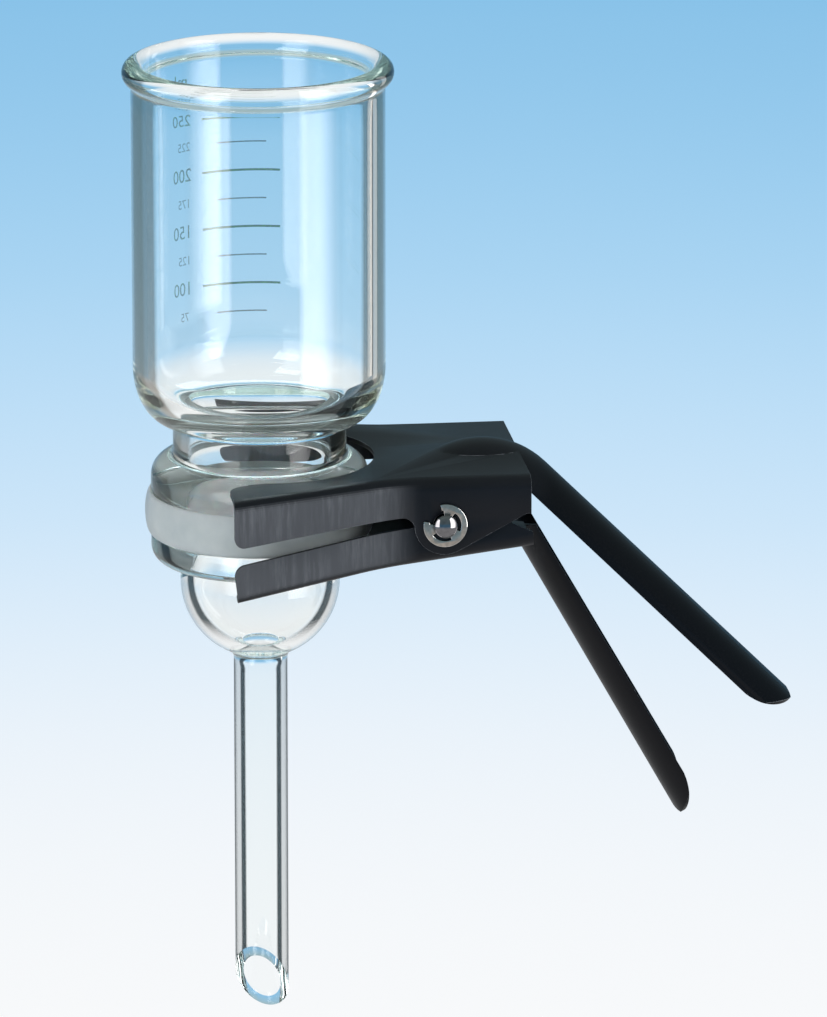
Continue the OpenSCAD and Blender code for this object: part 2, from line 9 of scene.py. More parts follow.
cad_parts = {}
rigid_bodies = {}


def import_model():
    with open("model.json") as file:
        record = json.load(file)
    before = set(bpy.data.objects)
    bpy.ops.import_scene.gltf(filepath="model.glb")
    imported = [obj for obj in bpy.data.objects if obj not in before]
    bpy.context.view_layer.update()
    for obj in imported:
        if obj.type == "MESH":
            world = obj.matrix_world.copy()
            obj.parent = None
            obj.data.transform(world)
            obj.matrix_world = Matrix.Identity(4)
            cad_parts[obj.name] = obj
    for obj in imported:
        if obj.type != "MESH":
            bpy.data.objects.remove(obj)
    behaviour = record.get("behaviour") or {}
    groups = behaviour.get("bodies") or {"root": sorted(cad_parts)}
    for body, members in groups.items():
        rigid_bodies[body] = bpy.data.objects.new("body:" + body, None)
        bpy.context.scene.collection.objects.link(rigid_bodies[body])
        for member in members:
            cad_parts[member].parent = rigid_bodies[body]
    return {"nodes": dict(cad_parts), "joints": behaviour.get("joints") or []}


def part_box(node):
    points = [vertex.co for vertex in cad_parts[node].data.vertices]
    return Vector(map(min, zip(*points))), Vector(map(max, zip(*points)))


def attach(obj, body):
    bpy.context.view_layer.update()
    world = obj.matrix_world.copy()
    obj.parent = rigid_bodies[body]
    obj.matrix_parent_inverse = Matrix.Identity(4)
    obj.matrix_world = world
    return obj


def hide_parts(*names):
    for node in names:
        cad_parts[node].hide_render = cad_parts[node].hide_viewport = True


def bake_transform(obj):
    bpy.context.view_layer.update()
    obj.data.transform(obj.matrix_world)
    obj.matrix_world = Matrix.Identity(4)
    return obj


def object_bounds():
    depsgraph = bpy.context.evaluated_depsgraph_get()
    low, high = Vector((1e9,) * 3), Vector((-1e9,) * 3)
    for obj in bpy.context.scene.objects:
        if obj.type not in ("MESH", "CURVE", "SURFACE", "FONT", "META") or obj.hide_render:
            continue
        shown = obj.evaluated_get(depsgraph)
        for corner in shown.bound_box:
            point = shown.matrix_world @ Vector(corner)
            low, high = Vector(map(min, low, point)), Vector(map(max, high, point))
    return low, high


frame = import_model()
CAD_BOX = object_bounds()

bl_info = {
    "name": "Vacuum Filtration Unit",
    "version": (1, 0, 0),
    "blender": (4, 5, 0),
    "location": "View3D > Sidebar > Filtration",
    "description": "Builds the glass, seal, clamp and stage of a vacuum filtration unit",
    "category": "Object",
}

MM = 0.001
MERGE = 1e-6
TAU = 2 * math.pi
GLASS_IOR = 1.474
GROUND_OFF = 0.04 * MM  # what grinding takes off each sealing face
PIN = Vector(frame["joints"][0]["pos_m"])
FUNNEL_LOW, FUNNEL_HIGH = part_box("funnel")
BASE_LOW, BASE_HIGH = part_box("base")
RING_LOW, RING_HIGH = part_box("seal_ring")
DISC_LOW, DISC_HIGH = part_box("sintered_disc")
PIN_LOW, PIN_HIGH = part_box("pivot_pin")
UP = Vector((0, 0, 1))


# ---- Sizes and colours that a user would change ----


def length(name, description, default):
    """A size in metres, shown in the scene's own unit."""
    return bpy.props.FloatProperty(
        name=name, description=description, default=default, min=0.0, precision=5,
        subtype="DISTANCE", unit="LENGTH")


def colour(name, description, default):
    """A linear colour."""
    return bpy.props.FloatVectorProperty(
        name=name, description=description, default=default, size=len(default),
        min=0.0, max=1.0, subtype="COLOR")


def factor(name, description, default):
    """A share from none to all."""
    return bpy.props.FloatProperty(
        name=name, description=description, default=default, min=0.0, max=1.0,
        subtype="FACTOR")


class GlassSettings(bpy.types.PropertyGroup):
    """Sizes and colours of the funnel, the base and the printed scale."""

    steps_round: bpy.props.IntProperty(
        name="Steps round", description="Facets round each turned piece",
        default=160, min=24, max=512)
    flange_r: length("Flange radius", "Radius of both flanges", 30.2 * MM)
    tube_r: length("Tube radius", "Outer radius of the funnel tube", 35 * MM)
    tube_bore_r: length("Tube bore", "Inner radius of the funnel tube", 31 * MM)
    neck_r: length("Neck radius", "Outer radius of the neck", 24.05 * MM)
    neck_bore_r: length("Neck bore", "Inner radius of the neck", 20 * MM)
    bowl_r: length("Bowl radius", "Outer radius of the base bowl", 22.2 * MM)
    bowl_wall: length("Bowl wall", "Thickness of the bowl's wall", 3 * MM)
    stem_r: length("Stem radius", "Outer radius of the stem", 7.5 * MM)
    stem_bore_r: length("Stem bore", "Inner radius of the stem", 5.2 * MM)
    softened: length("Softened corner", "Radius that flame gives to a corner", 0.9 * MM)
    tint: colour("Tint", "Colour of light through thick glass", (0.66, 0.88, 0.78))
    tint_depth: bpy.props.FloatProperty(
        name="Tint depth", description="How fast thick glass takes its tint, per metre",
        default=5.0, min=0.0, max=500.0)
    # Painted shade: the two colours below darken the glass where its upright outer wall is seen
    # edge on, in place of dark surroundings seen through it.
    tube_edge: colour("Tube edge", "Colour of the tube's wall seen edge on",
                      (0.16, 0.12, 0.08))
    base_edge: colour("Base edge", "Colour of the base's wall seen edge on",
                      (0.005, 0.009, 0.011))
    print_green: colour("Main print", "Colour of the main marks", (0.12, 0.50, 0.10))
    print_grey: colour("Fine print", "Colour of the marks between", (0.12, 0.30, 0.28))


class ClampSettings(bpy.types.PropertyGroup):
    """Looks of the clamp, its pin, its clips and its spring."""

    edge_round: length("Edge round", "Round on the edges of the sheet", 0.16 * MM)
    black: colour("Black finish", "Colour of the blackened sheet", (0.006, 0.007, 0.010))
    worn: colour("Worn finish", "Colour where the finish is rubbed", (0.21, 0.22, 0.24))
    # Painted shade: the grips are given a darker black than the rest of the sheet.
    grip_black: colour("Grip finish", "Colour of the grips", (0.002, 0.002, 0.004))
    # Partly wear and partly painted highlight: a pale colour along the sheet's rounded edges.
    edge_worn: colour("Worn edge", "Colour of the sheet's edges where rubbed",
                      (0.45, 0.47, 0.50))
    rubbed: factor("Rubbed", "How far the sides are rubbed", 0.75)
    # Painted shade: the pin's steel is darker than polished steel, standing in for the dark room
    # it reflects.
    steel: colour("Pin steel", "Colour of the polished pin", (0.30, 0.29, 0.30))
    clip_steel: colour("Clip steel", "Colour of the clips", (0.66, 0.57, 0.49))
    # Partly wear and partly painted highlight: a brighter steel on the clips' rolled edges.
    rim_steel: colour("Clip rim", "Colour of the clips' rolled edges", (0.95, 0.93, 0.90))
    spring_steel: colour("Spring steel", "Colour of the spring", (0.48, 0.47, 0.46))
    clip_round: length("Clip round", "Round on the edges of the clips", 0.22 * MM)
    wire_r: length("Wire radius", "Radius of the spring wire", 1.0 * MM)
    coil_turns: bpy.props.IntProperty(
        name="Coil turns", description="Whole turns of the spring", default=9, min=1)
    coil_pitch: length("Coil pitch", "Distance from turn to turn", 2.3 * MM)
    leg_l: length("Leg length", "Length of each spring leg", 19 * MM)


class StageSettings(bpy.types.PropertyGroup):
    """The floor, its tones, the room's tones and the camera."""

    drop: length("Drop", "Height of the stem's tip above the floor", 0.30)
    near_tone: colour("Near tone", "Tone of the floor close by", (1.0, 1.0, 1.0))
    low_tone: colour("Low tone", "Tone of the floor behind the stem", (0.90, 0.95, 1.0))
    mid_tone: colour("Middle tone", "Tone of the floor behind the clamp", (0.62, 0.82, 1.0))
    high_tone: colour("High tone", "Tone of the floor behind the funnel", (0.38, 0.68, 0.94))
    far_tone: colour("Far tone", "Tone of the floor far off", (0.23, 0.55, 0.85))
    sky_tone: colour("Sky tone", "Tone of the room above the floor's edge", (0.36, 0.50, 0.54))
    roof_tone: colour("Roof tone", "Tone of the room overhead", (0.52, 0.64, 0.60))
    mirrored: factor("Mirrored tone", "How bright the floor and the room look in a mirror", 0.55)
    azimuth: bpy.props.FloatProperty(
        name="Azimuth", description="Direction the camera looks from",
        default=math.radians(-7.0), subtype="ANGLE", unit="ROTATION")
    elevation: bpy.props.FloatProperty(
        name="Elevation", description="Height of the camera above the level",
        default=math.radians(15.8), subtype="ANGLE", unit="ROTATION")
    distance: length("Distance", "From the camera to what it looks at", 2.497)
    aim_right: length("Aim right", "How far right of the glass the camera looks", 42.7 * MM)
    aim_up: length("Aim up", "How far above the stem the camera looks", 42.96 * MM)
    lens: bpy.props.FloatProperty(
        name="Lens", description="Focal length", default=318.0, subtype="DISTANCE_CAMERA")


# ---- Meshes and node trees ----


def link(name, mesh):
    """Puts a mesh, a lamp, a camera or a text in the scene as an object."""
    obj = bpy.data.objects.new(name, mesh)
    bpy.context.scene.collection.objects.link(obj)
    return obj


def evaluated_mesh(obj):
    """A plain mesh of what the object's modifiers or its text make of it."""
    graph = bpy.context.evaluated_depsgraph_get()
    return bpy.data.meshes.new_from_object(obj.evaluated_get(graph))


def stands_for(obj, body, node):
    """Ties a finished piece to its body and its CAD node."""
    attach(obj, body)
    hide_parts(node)


def wire_object(name, points, closed):
    """An object whose mesh is one line of edges, for a tree to work on."""
    count = len(points)
    edges = [(i, (i + 1) % count) for i in range(count if closed else count - 1)]
    mesh = bpy.data.meshes.new(name)
    mesh.from_pydata(points, edges, [])
    return link(name, mesh)


class Nodes:
    """A node tree, with short ways to add nodes and to join them."""

    prefix = "ShaderNode"

    def __init__(self, tree):
        self.nodes, self.links = tree.nodes, tree.links

    def join(self, value, socket):
        """Gives a socket an output to follow, or a value of its own."""
        if isinstance(value, bpy.types.NodeSocket):
            self.links.new(value, socket)
        elif socket.type == "RGBA":
            socket.default_value = (*value, 1)
        else:
            socket.default_value = value

    def add(self, kind, *values, **labelled):
        """Adds a node. Its first sockets take the values, and others go by label."""
        made = self.nodes.new(self.prefix + kind)
        for socket, value in zip(made.inputs, values):
            self.join(value, socket)
        for label, value in labelled.items():
            self.join(value, made.inputs[label.replace("_", " ")])
        return made

    def math(self, operation, a, b=0.5, c=0.0, clamp=False):
        """A sum over up to three outputs or numbers."""
        made = self.add("Math", a, b, c)
        made.operation, made.use_clamp = operation, clamp
        return made.outputs[0]

    def ramp(self, value, stops, curve="LINEAR"):
        """A colour ramp over a value; a stop is a place and a grey or a colour."""
        made = self.add("ValToRGB", value)
        made.color_ramp.interpolation = curve
        elements = made.color_ramp.elements
        while len(elements) < len(stops):
            elements.new(0.5)
        for element, (place, tone) in zip(elements, stops):
            element.position = place
            element.color = (*((tone,) * 3 if isinstance(tone, float) else tone), 1)
        return made.outputs[0]


class Tree(Nodes):
    """A Geometry Nodes tree, from its named inputs to Realize Instances and Set Material."""

    prefix = "GeometryNode"

    def __init__(self, name, inputs):
        self.group = bpy.data.node_groups.new(name, "GeometryNodeTree")
        super().__init__(self.group)
        face = self.group.interface
        face.new_socket("Geometry", in_out="INPUT", socket_type="NodeSocketGeometry")
        self.ids = {}
        for label, kind in {**inputs, "Finish": "Material"}.items():
            socket = face.new_socket(label, in_out="INPUT", socket_type="NodeSocket" + kind)
            self.ids[label] = socket.identifier
        face.new_socket("Geometry", in_out="OUTPUT", socket_type="NodeSocketGeometry")
        self.source = self.nodes.new("NodeGroupInput").outputs

    def step(self, kind, **labelled):
        """Adds a node and hands on what it makes."""
        return self.add(kind, **labelled).outputs[0]

    def finish(self, mesh_socket, smooth=True):
        """Ends the tree with merged points, real copies and their material."""
        merged = self.step("MergeByDistance", Geometry=mesh_socket, Distance=MERGE)
        shaded = self.step("SetShadeSmooth", Geometry=merged, Shade_Smooth=smooth)
        real = self.step("RealizeInstances", Geometry=shaded)
        done = self.step("SetMaterial", Geometry=real, Material=self.source["Finish"])
        self.join(done, self.nodes.new("NodeGroupOutput").inputs[0])
        return self

    def run(self, obj, **inputs):
        """Sets the inputs, then leaves the tree's result as the object's plain mesh."""
        modifier = obj.modifiers.new(self.group.name, "NODES")
        modifier.node_group = self.group
        for label, value in inputs.items():
            modifier[self.ids[label.replace("_", " ")]] = value
        mesh = evaluated_mesh(obj)
        obj.modifiers.remove(modifier)
        old, obj.data = obj.data, mesh
        bpy.data.meshes.remove(old)
        mesh.name = obj.name
        return obj


@functools.cache
def revolve_tree():
    """Turns a profile about Z: the profile runs round a hub circle."""
    tree = Tree("Turned piece", {"Steps": "Int", "Hub": "Float"})
    profile = tree.step("MeshToCurve", Mesh=tree.source["Geometry"])
    round_path = tree.step("CurvePrimitiveCircle", Resolution=tree.source["Steps"],
                           Radius=tree.source["Hub"])
    return tree.finish(tree.step("CurveToMesh", Curve=round_path, Profile_Curve=profile))


@functools.cache
def wire_tree():
    """Gives a line a round section, with its ends closed."""
    tree = Tree("Wire", {"Radius": "Float", "Sides": "Int"})
    route = tree.step("MeshToCurve", Mesh=tree.source["Geometry"])
    section = tree.step("CurvePrimitiveCircle", Resolution=tree.source["Sides"],
                        Radius=tree.source["Radius"])
    return tree.finish(tree.step("CurveToMesh", Curve=route, Profile_Curve=section,
                                 Fill_Caps=True))


@functools.cache
def ladder_tree():
    """Repeats a mark up the wall at even steps."""
    tree = Tree("Ladder of marks", {"Count": "Int", "Step": "Vector"})
    line = tree.step("MeshLine", Count=tree.source["Count"], Offset=tree.source["Step"])
    copies = tree.step("InstanceOnPoints", Points=line, Instance=tree.source["Geometry"])
    real = tree.step("RealizeInstances", Geometry=copies)
    return tree.finish(real, smooth=False)


def outward(mesh):
    """Turns a closed shell's faces outwards."""
    bm = bmesh.new()
    bm.from_mesh(mesh)
    if bm.calc_volume(signed=True) < 0:
        bmesh.ops.reverse_faces(bm, faces=bm.faces)
    bm.to_mesh(mesh)
    bm.free()


def shade(mesh, angle=35.0):
    """Smooth shading that keeps corners sharper than the angle."""
    mesh.shade_smooth()
    mesh.set_sharp_from_angle(angle=math.radians(angle))


def turned(name, profile, finish, steps, closed=True, axis_turn=None):
    """A piece turned from its profile of radius and height, in metres."""
    hub = 10 * MM
    obj = wire_object(name, [(r - hub, -z, 0.0) for r, z in profile], closed)
    revolve_tree().run(obj, Steps=steps, Hub=hub, Finish=finish)
    if axis_turn is not None:
        obj.data.transform(axis_turn)
    outward(obj.data)
    shade(obj.data)
    return obj


def arc(centre, rx, ry, start, end, steps=14):
    """Points along an arc of an ellipse, with its angles in degrees."""
    found = []
    for i in range(steps + 1):
        a = math.radians(start + (end - start) * i / steps)
        found.append((centre[0] + rx * math.cos(a), centre[1] + ry * math.sin(a)))
    return found


def bend(start, knee, end, steps):
    """Points along a quadratic curve that leaves and arrives towards its knee."""
    shares = [i / steps for i in range(steps + 1)]
    return [tuple(start * (1 - t) ** 2 + knee * 2 * t * (1 - t) + end * t ** 2)
            for t in shares]


def soften(points, radius, least_turn=22.0, steps=5):
    """Rounds each corner of a closed profile as a flame would."""
    kept = []
    points = [p for i, p in enumerate(points)
              if math.dist(p, points[i - 1]) > 10 * MERGE]
    count = len(points)
    for i in range(count):
        here = Vector(points[i])
        back = Vector(points[i - 1]) - here
        on = Vector(points[(i + 1) % count]) - here
        turn = math.pi - back.angle(on)
        if math.degrees(turn) < least_turn:
            kept.append(tuple(here))
            continue
        cut = min(radius * math.tan(turn / 2), 0.4 * back.length, 0.4 * on.length)
        kept += bend(here + back.normalized() * cut, here, here + on.normalized() * cut, steps)
    return kept


# ---- Finishes ----


class Finish(Nodes):
    """A material whose nodes read the piece's own coordinates."""

    def __init__(self, name, **values):
        self.material = bpy.data.materials.new(name)
        self.material.use_nodes = True
        super().__init__(self.material.node_tree)
        self.shader = self.nodes["Principled BSDF"]
        for label, value in values.items():
            self.into(label.replace("_", " "), value)
        self.place = self.add("TexCoord").outputs["Object"]

    def into(self, label, value):
        """Gives one of the shader's sockets an output to follow or a value."""
        self.join(value, self.shader.inputs[label])

    def noise(self, scale, stretch=(1, 1, 1), detail=3.0, roughness=0.5):
        """Noise over object coordinates, which a Mapping node stretches."""
        place = self.add("Mapping", self.place, Scale=stretch).outputs[0]
        made = self.add("TexNoise", Vector=place, Scale=scale, Detail=detail,
                        Roughness=roughness)
        return made.outputs["Fac"]

    def mix(self, share, low, high):
        """Mixes two colours by a share that varies over the surface."""
        made = self.nodes.new("ShaderNodeMix")
        made.data_type = "RGBA"
        for place, value in ((0, share), (6, low), (7, high)):
            self.join(value, made.inputs[place])
        return made.outputs[2]

    def axis(self, letter, vector=None):
        """One part of a vector, or of the object coordinates."""
        return self.add("SeparateXYZ", vector or self.place).outputs[letter]

    def facing(self, letter):
        """How far the true surface faces along an axis, from 0 to 1."""
        normal = self.add("NewGeometry").outputs["True Normal"]
        return self.math("ABSOLUTE", self.axis(letter, normal))

    def span(self, value, low, high):
        """0 below low, 1 above high, smooth between."""
        made = self.add("MapRange", value, low, high)
        made.interpolation_type = "SMOOTHSTEP"
        return made.outputs[0]

    def below(self, value, low, high):
        """1 below low, 0 above high, smooth between."""
        return self.math("SUBTRACT", 1.0, self.span(value, low, high))

    def bump(self, height, distance, strength):
        """Raises and sinks the surface's shading by a height."""
        made = self.add("Bump", Height=height, Distance=distance, Strength=strength)
        self.into("Normal", made.outputs[0])


def dimmed(tone, share):
    """A colour times a share."""
    return tuple(share * channel for channel in tone)


def glass_finish(name, settings, edge_shade_tone, shade_near, shade_far):
    """Clear blown glass, with faint waves in its skin. Thick glass darkens through its tint, and
    upright edges get a painted dark band: painted shade for the dark surroundings that glass
    shows edge on.
    """
    finish = Finish(name, Roughness=0.0, IOR=GLASS_IOR, Transmission_Weight=1.0)
    # The stem's wall is thick for its width, so its band of painted edge shade begins further
    # in.
    in_stem = finish.below(finish.axis("Z"), -2 * MM, 4 * MM)
    slant = finish.math("MULTIPLY_ADD", in_stem, 0.22,
                        finish.add("LayerWeight").outputs["Facing"])
    outside = finish.add("Attribute")
    outside.attribute_name = "outside"
    upright = finish.math("MULTIPLY", finish.below(finish.facing("Z"), 0.35, 0.75),
                          outside.outputs["Fac"])
    # Painted shade: upright outer walls seen edge on take the dark edge colour in their base
    # colour.
    edge_shade_share = finish.math("MULTIPLY", upright, finish.ramp(slant, [
        (0.42, 0.0), (0.46, shade_near), (0.57, shade_near), (0.62, shade_far),
        (0.80, shade_far), (0.94, 0.0)]))
    finish.into("Base Color", finish.mix(edge_shade_share, (0.985, 0.995, 0.99), edge_shade_tone))
    finish.bump(finish.noise(30.0, (1, 1, 0.25), detail=1.0), 0.02 * MM, 0.3)
    body = finish.add("VolumeAbsorption", settings.tint, settings.tint_depth)
    finish.join(body.outputs[0], finish.nodes["Material Output"].inputs["Volume"])
    return finish.material


def ground_finish():
    """Ground glass of the sealing faces: milky, with the marks of the grit."""
    finish = Finish("ground_glass", IOR=GLASS_IOR, Base_Color=(0.92, 0.96, 0.93))
    grit = finish.noise(2600.0, detail=4.0, roughness=0.7)
    finish.into("Roughness", finish.ramp(grit, [(0.3, 0.45), (0.7, 0.65)]))
    finish.bump(grit, 0.02 * MM, 0.6)
    return finish.material


def seal_finish():
    """White moulded rubber, satin and faintly see-through, with flow clouds."""
    finish = Finish("white_seal", IOR=1.42, Subsurface_Weight=0.5, Subsurface_Scale=4 * MM,
                    Subsurface_Radius=(1.0, 0.95, 0.85))
    clouds = finish.noise(140.0, detail=4.0)
    finish.into("Base Color", finish.ramp(
        clouds, [(0.3, (0.60, 0.66, 0.66)), (0.7, (0.70, 0.75, 0.74))]))
    finish.into("Roughness", finish.ramp(clouds, [(0.3, 0.28), (0.75, 0.42)]))
    finish.bump(finish.noise(900.0, detail=2.0), 0.01 * MM, 0.5)
    return finish.material


def frit_finish():
    """Sintered glass: white grains pressed together."""
    finish = Finish("sintered_glass", IOR=1.47, Subsurface_Weight=0.3,
                    Subsurface_Scale=2 * MM)
    grains = finish.add("TexVoronoi", Vector=finish.place, Scale=3800.0)
    both = finish.math("MULTIPLY_ADD", grains.outputs["Distance"], 0.6, finish.noise(260.0))
    finish.into("Base Color", finish.ramp(
        both, [(0.45, (0.70, 0.73, 0.72)), (0.95, (0.88, 0.90, 0.89))]))
    finish.into("Roughness", finish.ramp(both, [(0.4, 0.75), (0.9, 0.95)]))
    finish.bump(grains.outputs["Distance"], 0.06 * MM, 0.7)
    return finish.material


def print_finish(name, tone, cover):
    """Fired enamel of the scale, a little uneven where the screen laid it thin."""
    finish = Finish(name, IOR=1.5, Alpha=cover)
    thin = finish.noise(900.0, detail=2.0)
    finish.into("Base Color", finish.mix(finish.ramp(thin, [(0.35, 0.0), (0.7, 1.0)]),
                                         tone, dimmed(tone, 0.72)))
    finish.into("Roughness", finish.ramp(thin, [(0.3, 0.35), (0.7, 0.55)]))
    return finish.material


def black_finish(settings):
    """Blackened sheet: satin, rubbed in upright streaks down the fork's sides, with the grips a
    darker black as painted shade.
    """
    finish = Finish("black_sheet", IOR=1.5, Specular_IOR_Level=0.26)
    grain = finish.noise(1700.0, detail=3.0)
    cloud = finish.noise(55.0, (1, 1, 1.4), detail=4.0)
    streaks = finish.noise(1.0, (620.0, 620.0, 55.0), detail=5.0, roughness=0.65)
    blotch = finish.noise(1.0, (130.0, 130.0, 60.0), detail=3.0)
    along = finish.axis("X")
    sides = finish.span(finish.facing("Y"), 0.72, 0.95)
    fork = finish.below(along, 28 * MM, 42 * MM)
    plates = finish.below(along, 74 * MM, 82 * MM)
    marks = finish.math("MULTIPLY", finish.ramp(streaks, [(0.44, 0.0), (0.66, 1.0)]),
                        finish.ramp(blotch, [(0.38, 0.15), (0.62, 1.0)]))
    faint = finish.math("MULTIPLY_ADD", marks, 0.45, 0.62)
    worn = finish.math("MULTIPLY", finish.math("MULTIPLY", sides, fork), faint)
    worn = finish.math("MULTIPLY", worn, settings.rubbed)
    pale = finish.math("MULTIPLY", finish.ramp(cloud, [(0.35, 0.0), (0.75, 0.35)]), plates)
    # Painted shade: the grips take the darker black.
    base = finish.mix(plates, settings.grip_black, settings.black)
    base = finish.mix(pale, base, dimmed(settings.black, 2))
    finish.into("Base Color", finish.mix(worn, base, settings.worn))
    rough = finish.math("MULTIPLY_ADD", worn, 0.25,
                        finish.math("MULTIPLY_ADD", cloud, 0.16, 0.30))
    finish.into("Roughness", finish.math("MINIMUM", rough, 1.0))
    finish.bump(finish.math("MULTIPLY_ADD", streaks, 0.5, grain), 0.012 * MM, 0.55)
    return finish.material


def rubbed_edge_finish(settings):
    """Edges of the sheet, where handling has thinned the black finish unevenly, and a painted
    highlight runs along them.
    """
    finish = Finish("worn_highlit_edge", IOR=1.5, Specular_IOR_Level=0.4)
    wear = finish.noise(160.0, detail=5.0, roughness=0.6)
    finish.into("Base Color", finish.mix(finish.ramp(wear, [(0.36, 0.0), (0.64, 1.0)]),
                                         settings.black, settings.edge_worn))
    finish.into("Roughness", finish.ramp(wear, [(0.3, 0.3), (0.7, 0.5)]))
    finish.bump(finish.noise(1500.0), 0.01 * MM, 0.4)
    return finish.material


def steel_finish(name, tone, stretch, low=0.0, high=0.0):
    """Steel with the fine marks of its making, and a roughness from low to high."""
    finish = Finish(name, Metallic=1.0, Roughness=low)
    lines = finish.noise(1.0, stretch, detail=4.0)
    finish.into("Base Color", finish.mix(finish.ramp(lines, [(0.3, 0.0), (0.8, 1.0)]),
                                         tone, dimmed(tone, 0.7)))
    if high > low:
        finish.into("Roughness", finish.ramp(lines, [(0.3, low), (0.75, high)]))
    finish.bump(lines, 0.006 * MM, 0.5)
    return finish.material


# ---- Glass ----


def even_rings(r, start, end, count):
    """Points of a straight wall between two heights, neither end among them."""
    return [(r, start + (end - start) * i / count) for i in range(1, count)]


def funnel_profile(glass):
    """Outline of the funnel's wall: flange, neck, shoulder, tube and rim bead."""
    flange_h, flange_round, edge = 7 * MM, 5.7 * MM, 0.5 * MM
    neck_h, fillet, shoulder_h, wall = 10.4 * MM, 1.8 * MM, 15.4 * MM, 4 * MM
    tube_fillet, tube_rings, leave_angle = 2.2 * MM, 20, -52
    floor_z = FUNNEL_LOW.z + GROUND_OFF
    bead_r = (FUNNEL_HIGH.x - glass.tube_bore_r) / 2
    bead = (glass.tube_bore_r + bead_r, FUNNEL_HIGH.z - bead_r)
    round_z = FUNNEL_LOW.z + flange_h
    neck_z = round_z + flange_round
    shoulder_z = neck_z + neck_h
    tube_z = shoulder_z + shoulder_h
    tube_top = bead[1] - 2.1 * bead_r
    blend_r = glass.neck_r + fillet
    points = [(glass.neck_bore_r, floor_z)]
    points += arc((glass.flange_r - edge, floor_z + edge), edge, edge, -90, 0, 4)
    points += arc((glass.flange_r - flange_round, round_z), flange_round, flange_round, 0, 90)
    points += arc((blend_r, neck_z + fillet), fillet, fillet, -90, -180, 6)
    points += arc((blend_r, shoulder_z - fillet), fillet, fillet, 180, 90, 6)
    points += arc((blend_r, tube_z), glass.tube_r - blend_r, shoulder_h, -90, 0, 28)
    points += even_rings(glass.tube_r, tube_z, tube_top, tube_rings)
    around = arc(bead, bead_r, bead_r, leave_angle, 180, 30)
    leave = Vector(around[0])
    foot = Vector((glass.tube_r, leave.y - tube_fillet))
    knee = Vector((glass.tube_r, leave.y - 0.25 * tube_fillet))
    points += bend(foot, knee, leave, 6)
    points += around[1:]
    points += even_rings(glass.tube_bore_r, bead[1], tube_z, tube_rings)
    points += arc((glass.neck_bore_r, tube_z), glass.tube_bore_r - glass.neck_bore_r,
                  shoulder_h - wall, 0, -90, 28)
    return soften(points, glass.softened)


def base_profile(glass):
    """Outline of the base's wall: flange, bowl and stem."""
    bowl_rise, fillet, edge, round_r = 6.1 * MM, 3 * MM, 0.5 * MM, 4.2 * MM
    stem_rings, spare = 36, 5 * MM
    top_z = BASE_HIGH.z - GROUND_OFF
    bowl_z = math.sqrt((glass.bowl_r + fillet) ** 2 - (glass.stem_r + fillet) ** 2)
    flange_z = bowl_z + bowl_rise
    bore_r = glass.bowl_r - glass.bowl_wall
    out_top = math.degrees(math.asin(bowl_rise / glass.bowl_r))
    out_end = -math.degrees(math.acos((glass.stem_r + fillet) / (glass.bowl_r + fillet)))
    in_end = -math.degrees(math.acos(glass.stem_bore_r / bore_r))
    foot_z = BASE_LOW.z - spare
    heights = [foot_z * (i + 1) / stem_rings for i in range(stem_rings)]
    points = arc((0, bowl_z), bore_r, bore_r, 0, in_end, 26)
    points += [(glass.stem_bore_r, z) for z in heights]
    points += [(glass.stem_r, z) for z in reversed(heights)]
    points += arc((glass.stem_r + fillet, 0), fillet, fillet, 180, 180 + out_end, 8)
    points += arc((0, bowl_z), glass.bowl_r, glass.bowl_r, out_end, out_top, 30)[1:]
    points += arc((glass.flange_r - round_r, flange_z + round_r), round_r, round_r, -90, 0, 12)
    points += arc((glass.flange_r - edge, top_z - edge), edge, edge, 0, 90, 4)
    points += [(bore_r, top_z)]
    return soften(points, glass.softened)


def grind(obj, height, ground):
    """Gives the flat sealing face at a height the ground finish."""
    obj.data.materials.append(ground)
    slot = len(obj.data.materials) - 1
    for face in obj.data.polygons:
        if abs(face.normal.z) > 0.98 and abs(face.center.z - height) < 0.3 * MM:
            face.material_index = slot


def mark_outside(obj):
    """Marks the faces that look away from the axis, for the painted edge shade to follow."""
    outside = obj.data.attributes.new("outside", "FLOAT", "FACE")
    for face, mark in zip(obj.data.polygons, outside.data):
        away = face.normal.x * face.center.x + face.normal.y * face.center.y > 0
        mark.value = 1.0 if away else 0.0


def slant_stem(obj, glass):
    """Cuts the stem's end off on the slant and melts the edges of the cut."""
    cut_angle, cut_turn, melt = math.radians(34), math.radians(69), 0.45 * MM
    tip_drop = glass.stem_r / math.tan(cut_angle)
    middle = Vector((0, 0, BASE_LOW.z + tip_drop))
    normal = Vector((-math.cos(cut_turn) * math.cos(cut_angle),
                     -math.sin(cut_turn) * math.cos(cut_angle), -math.sin(cut_angle)))
    bm = bmesh.new()
    bm.from_mesh(obj.data)
    geometry = bm.verts[:] + bm.edges[:] + bm.faces[:]
    found = bmesh.ops.bisect_plane(bm, geom=geometry, dist=MERGE, plane_co=middle,
                                   plane_no=normal, clear_outer=True)
    rim = [e for e in found["geom_cut"] if isinstance(e, bmesh.types.BMEdge)]
    bmesh.ops.bridge_loops(bm, edges=rim)
    bmesh.ops.bevel(bm, geom=rim, offset=melt, segments=3, profile=0.5,
                    affect="EDGES", clamp_overlap=True)
    bmesh.ops.recalc_face_normals(bm, faces=bm.faces)
    bm.to_mesh(obj.data)
    bm.free()
    outward(obj.data)


